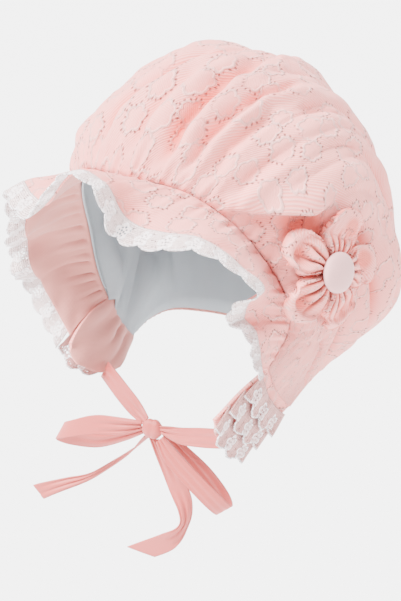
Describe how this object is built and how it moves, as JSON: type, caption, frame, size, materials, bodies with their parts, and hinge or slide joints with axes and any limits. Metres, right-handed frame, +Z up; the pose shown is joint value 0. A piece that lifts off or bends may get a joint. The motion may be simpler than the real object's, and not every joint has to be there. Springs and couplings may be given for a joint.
{
  "type": "baby bonnet",
  "caption": "Puffed cloth baby bonnet with a smooth lining, a waved lace-edged brim, lace-tiered ear flaps, a cloth flower with a covered button, and chin ties in a bow.",
  "frame": {"origin": "the highest point of the lining's inside, where the top of the head bears on it", "axes": "+X to the wearer's left, -Y the way the face looks, +Z up; the ties and bow hang towards -Z"},
  "size_m": [0.2109, 0.2402, 0.3124],
  "materials": {
    "jacquard": "matte pale pink openwork jacquard",
    "lining_cotton": "matte cool grey-white cotton",
    "lace": "matte off-white openwork lace",
    "ribbon": "soft low-sheen dusty pink ribbon"
  },
  "bodies": {
    "root": {"crown": "jacquard", "lining": "lining_cotton", "brim": "jacquard", "brim_lace": "lace", "ear_flap_left": "jacquard", "ear_flap_right": "jacquard", "flap_lace_left_1": "lace", "flap_lace_left_2": "lace", "flap_lace_left_3": "lace", "flap_lace_right_1": "lace", "flap_lace_right_2": "lace", "flap_lace_right_3": "lace", "petal_1": "jacquard", "petal_2": "jacquard", "petal_3": "jacquard", "petal_4": "jacquard", "petal_5": "jacquard", "button": "ribbon", "tie_left": "ribbon", "tie_right": "ribbon", "bow_knot": "ribbon", "bow_loop_left": "ribbon", "bow_loop_right": "ribbon", "bow_tail_left": "ribbon", "bow_tail_right": "ribbon"}
  },
  "joints": []
}
